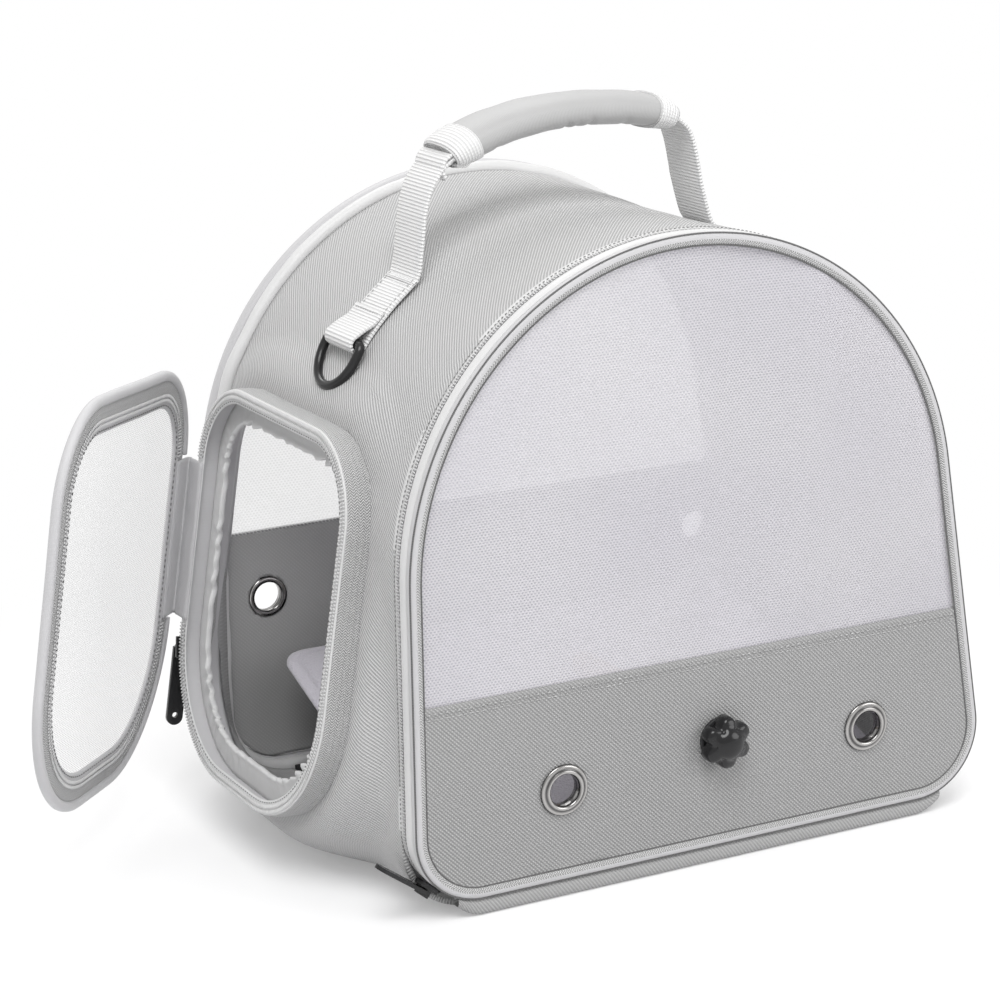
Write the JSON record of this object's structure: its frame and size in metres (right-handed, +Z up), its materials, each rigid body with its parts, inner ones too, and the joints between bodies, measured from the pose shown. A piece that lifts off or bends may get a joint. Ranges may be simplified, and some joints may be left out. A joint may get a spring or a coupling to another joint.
{
  "type": "bird travel carrier",
  "caption": "Soft arched pet carrier with a mesh front that folds down, a zipped side door, a perch with a star knob, a padded handle and D-rings.",
  "frame": {"origin": "middle of the flat underside", "axes": "+Z up, +X right seen from the front, the front faces -Y"},
  "size_m": [0.4851, 0.2541, 0.3732],
  "materials": {
    "side_fabric": "light grey fine twill",
    "band_fabric": "mid grey coarse weave",
    "base_fabric": "light grey weave",
    "trim_fabric": "pale grey smooth piping",
    "zip_tape": "near white herringbone tape",
    "zip_coil": "pale nylon coil",
    "window_mesh": "white see-through mesh",
    "collar_fabric": "pale grey gathered elastic fabric",
    "webbing": "near white ribbed webbing",
    "grip_fabric": "light grey smooth padded fabric",
    "fleece": "pale lavender fleece",
    "board": "black sheet",
    "eyelet_metal": "bright pressed metal",
    "steel": "bright threaded rod",
    "black_metal": "black satin",
    "wood": "plain turned wood",
    "washer_plastic": "black washer",
    "knob_plastic": "glossy black"
  },
  "bodies": {
    "carrier_body": {"gusset_shell": "side_fabric", "base_panel": "base_fabric", "base_board": "board", "base_hem": "base_fabric", "gusset_zip_tape": "zip_tape", "gusset_zip_coil": "zip_coil", "back_piping": "trim_fabric", "back_binding": "trim_fabric", "back_band_panel": "band_fabric", "back_window_mesh": "window_mesh", "back_eyelets": "eyelet_metal", "door_frame_flange": "zip_tape", "door_frame_coil": "zip_coil", "frame_hinge_strip": "zip_tape", "elastic_collar": "collar_fabric", "strap_anchor_left": "webbing", "strap_anchor_right": "webbing"},
    "front_panel": {"front_piping": "trim_fabric", "front_skirt_tape": "zip_tape", "front_zip_coil": "zip_coil", "front_window_mesh": "window_mesh", "front_band_panel": "band_fabric", "front_eyelets": "eyelet_metal", "perch_dowel": "wood", "perch_stud": "steel", "perch_washer_inner": "washer_plastic"},
    "knob_washer": {"perch_washer_outer": "washer_plastic"},
    "knob": {"star_knob": "knob_plastic"},
    "front_slider": {"front_zip_slider": "black_metal"},
    "front_puller": {"front_zip_puller": "black_metal"},
    "side_door": {"door_rim": "zip_tape", "door_piping": "trim_fabric", "door_coil": "zip_coil", "door_mesh": "window_mesh", "door_hinge_strip": "zip_tape"},
    "door_slider": {"door_zip_slider": "black_metal"},
    "door_puller": {"door_zip_puller": "black_metal"},
    "handle": {"handle_strap": "webbing", "handle_grip": "grip_fabric"},
    "ring_left": {"d_ring_left": "black_metal"},
    "ring_right": {"d_ring_right": "black_metal"},
    "mat": {"floor_mat": "fleece"}
  },
  "joints": [
    {"name": "front_panel_fold", "type": "hinge", "parent": "carrier_body", "child": "front_panel", "pos_m": [0, -0.12, 0.00915], "axis": [1, 0, 0], "range_deg": [0, 75]},
    {"name": "knob_back_off", "type": "slide", "parent": "front_panel", "child": "knob_washer", "axis": [0, -1, 0], "range_m": [0, 0.005]},
    {"name": "knob_turn", "type": "hinge", "parent": "knob_washer", "child": "knob", "pos_m": [0.005, -0.128, 0.066], "axis": [0, -1, 0], "range_deg": [0, 1800]},
    {"name": "front_slider_travel", "type": "hinge", "parent": "carrier_body", "child": "front_slider", "pos_m": [-0.127, -0.1059, 0.0453], "axis": [0, 1, 0], "range_deg": [0, 38]},
    {"name": "front_puller_swing", "type": "hinge", "parent": "front_slider", "child": "front_puller", "pos_m": [-0.15335, -0.1059, 0.01389], "axis": [0, -1, 0], "range_deg": [0, 70]},
    {"name": "side_door_swing", "type": "hinge", "parent": "carrier_body", "child": "side_door", "pos_m": [-0.18309, 0.1083, 0.14222], "axis": [-0.1564, 0, -0.9877], "range_deg": [-41, 80]},
    {"name": "door_slider_travel", "type": "hinge", "parent": "carrier_body", "child": "door_slider", "pos_m": [-0.18538, 0.0343, 0.09804], "axis": [-0.9877, 0, 0.1564], "range_deg": [0, 40]},
    {"name": "door_puller_swing", "type": "hinge", "parent": "door_slider", "child": "door_puller", "pos_m": [-0.18773, 0.10512, 0.08317], "axis": [0.9877, 0, -0.1564], "range_deg": [-5, 90]},
    {"name": "handle_swing", "type": "hinge", "parent": "carrier_body", "child": "handle", "pos_m": [-0.018, 0, 0.321], "axis": [1, 0, 0], "range_deg": [-60, 60]},
    {"name": "ring_left_swing", "type": "hinge", "parent": "carrier_body", "child": "ring_left", "pos_m": [-0.13589, 0, 0.26214], "axis": [0, 1, 0], "range_deg": [0, 120]},
    {"name": "ring_right_swing", "type": "hinge", "parent": "carrier_body", "child": "ring_right", "pos_m": [0.10329, 0, 0.27685], "axis": [0, -1, 0], "range_deg": [0, 120]},
    {"name": "mat_tip", "type": "hinge", "parent": "carrier_body", "child": "mat", "pos_m": [0, -0.0933, 0.0058], "axis": [1, 0, 0], "range_deg": [-20, 3]}
  ],
  "couplings": [
    {"joint": "knob_back_off", "follows": "knob_turn", "m_per_rad": 0.00015915}
  ]
}
